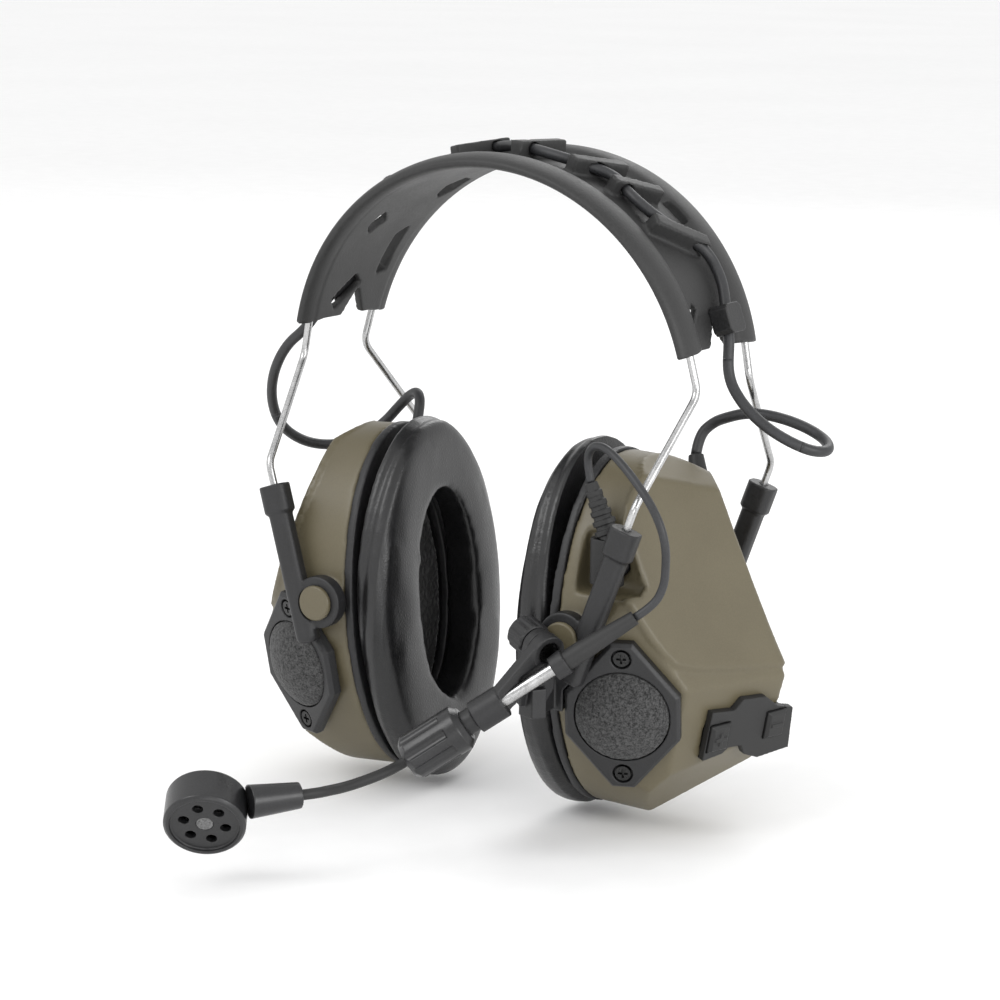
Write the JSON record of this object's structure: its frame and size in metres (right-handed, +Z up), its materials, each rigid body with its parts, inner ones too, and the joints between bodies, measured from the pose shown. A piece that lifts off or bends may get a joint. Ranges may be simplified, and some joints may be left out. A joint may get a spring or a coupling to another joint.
{
  "type": "two-way radio headset",
  "caption": "Two-way radio headset with a wire headband, a slotted rubber pad, hinged faceted ear cups with soft cushions and a boom microphone.",
  "frame": {"origin": "crown of the head pad's underside, where the headset rests on a head", "axes": "+Z up, -Y to the front, +X to the wearer's left"},
  "size_m": [0.1737, 0.1732, 0.1822],
  "materials": {
    "band_rubber": "matte moulded",
    "steel": "drawn spring steel",
    "cable_jacket": "satin",
    "black_plastic": "fine textured",
    "olive_plastic": "fine textured",
    "cushion_skin": "satin synthetic leather",
    "liner_mesh": "open knit over foam",
    "foam": "open cell foam",
    "speaker_metal": "satin",
    "board": "solder mask",
    "screw_metal": "black zinc",
    "soft_rubber": "moulded",
    "smooth_plastic": "satin gloss",
    "battery": "printed sleeve"
  },
  "bodies": {
    "headband": {"headband_pad": "band_rubber", "front_headband_wire": "steel", "rear_headband_wire": "steel", "headband_cable": "cable_jacket", "left_cable_clip": "black_plastic", "right_cable_clip": "black_plastic", "left_loop_upper": "cable_jacket", "right_loop_upper": "cable_jacket"},
    "left_arms": {"left_front_arm": "black_plastic", "left_rear_arm": "black_plastic"},
    "right_arms": {"right_front_arm": "black_plastic", "right_rear_arm": "black_plastic"},
    "left_cup": {"left_pivot_pins": "olive_plastic", "left_shell": "olive_plastic", "left_base_ring": "black_plastic", "left_cushion": "cushion_skin", "left_ear_foam": "liner_mesh", "left_speaker": "speaker_metal", "left_circuit_board": "board", "left_mic_frame": "black_plastic", "left_mic_foam": "foam", "left_mic_screws": "screw_metal", "left_ambient_mic": "speaker_metal", "left_cable_gland": "soft_rubber", "left_loop_lower": "cable_jacket", "keypad_panel": "soft_rubber", "key_switches": "board", "mic_socket": "black_plastic", "mic_plug": "soft_rubber", "mic_plug_boot": "soft_rubber", "mic_cable": "cable_jacket", "boom_mount": "black_plastic", "boom_clamp_screw": "screw_metal"},
    "right_cup": {"right_pivot_pins": "olive_plastic", "right_shell": "olive_plastic", "right_base_ring": "black_plastic", "right_cushion": "cushion_skin", "right_ear_foam": "liner_mesh", "right_speaker": "speaker_metal", "right_circuit_board": "board", "right_mic_frame": "black_plastic", "right_mic_foam": "foam", "right_mic_screws": "screw_metal", "right_ambient_mic": "speaker_metal", "right_cable_gland": "soft_rubber", "right_loop_lower": "cable_jacket", "batteries": "battery", "battery_contacts": "black_plastic"},
    "plus_key": {"plus_button": "soft_rubber"},
    "minus_key": {"minus_button": "soft_rubber"},
    "boom": {"boom_bracket": "black_plastic", "boom_sleeve": "soft_rubber"},
    "knob": {"boom_knob": "black_plastic"},
    "collet_nut": {"boom_nut": "smooth_plastic"},
    "boom_rod": {"boom_tube": "steel"},
    "mic_head": {"gooseneck": "soft_rubber", "mic_arm": "smooth_plastic", "mic_housing": "smooth_plastic", "mic_element": "speaker_metal"},
    "door": {"battery_door": "olive_plastic"}
  },
  "joints": [
    {"name": "left_arm_slide", "type": "slide", "parent": "headband", "child": "left_arms", "axis": [-0.3161, -0.07, -0.9462], "range_m": [-0.003, 0.025], "deforming": ["left_loop_upper"]},
    {"name": "right_arm_slide", "type": "slide", "parent": "headband", "child": "right_arms", "axis": [0.3161, -0.07, -0.9462], "range_m": [-0.003, 0.025], "deforming": ["right_loop_upper"]},
    {"name": "left_cup_tilt", "type": "hinge", "parent": "left_arms", "child": "left_cup", "pos_m": [0.0389, -0.0025, -0.1196], "axis": [0, 1, 0], "range_deg": [-12, 12], "deforming": ["left_loop_lower"]},
    {"name": "right_cup_tilt", "type": "hinge", "parent": "right_arms", "child": "right_cup", "pos_m": [-0.0389, -0.0025, -0.1196], "axis": [0, 1, 0], "range_deg": [-12, 12], "deforming": ["right_loop_lower"]},
    {"name": "boom_swing", "type": "hinge", "parent": "left_cup", "child": "boom", "pos_m": [0.0392, -0.0527, -0.1204], "axis": [0.867, -0.428, -0.255], "range_deg": [-35, 10], "deforming": ["mic_cable"]},
    {"name": "knob_turn", "type": "hinge", "parent": "left_cup", "child": "knob", "pos_m": [0.0392, -0.0527, -0.1204], "axis": [0.867, -0.428, -0.255], "range_deg": [-180, 180]},
    {"name": "nut_turn", "type": "hinge", "parent": "boom", "child": "collet_nut", "pos_m": [0.02145, -0.06745, -0.14115], "axis": [-0.715, -0.425, -0.555], "range_deg": [-180, 180]},
    {"name": "boom_reach", "type": "slide", "parent": "boom", "child": "boom_rod", "axis": [-0.715, -0.425, -0.555], "range_m": [0, 0.008]},
    {"name": "mic_twist", "type": "hinge", "parent": "boom_rod", "child": "mic_head", "pos_m": [0.01144, -0.0734, -0.14892], "axis": [-0.715, -0.425, -0.555], "range_deg": [-45, 45]},
    {"name": "plus_press", "type": "slide", "parent": "left_cup", "child": "plus_key", "axis": [-0.8929, 0.3546, 0.2775], "range_m": [0, 0.0008], "stiffness_N_per_m": 600, "springref_m": -0.0005},
    {"name": "minus_press", "type": "slide", "parent": "left_cup", "child": "minus_key", "axis": [-0.8929, 0.3546, 0.2775], "range_m": [0, 0.0008], "stiffness_N_per_m": 600, "springref_m": -0.0005},
    {"name": "battery_door_hinge", "type": "hinge", "parent": "right_cup", "child": "door", "pos_m": [-0.0643, 0.01855, -0.15209], "axis": [-0.6111, -0.7868, -0.0869], "range_deg": [0, 95]}
  ]
}
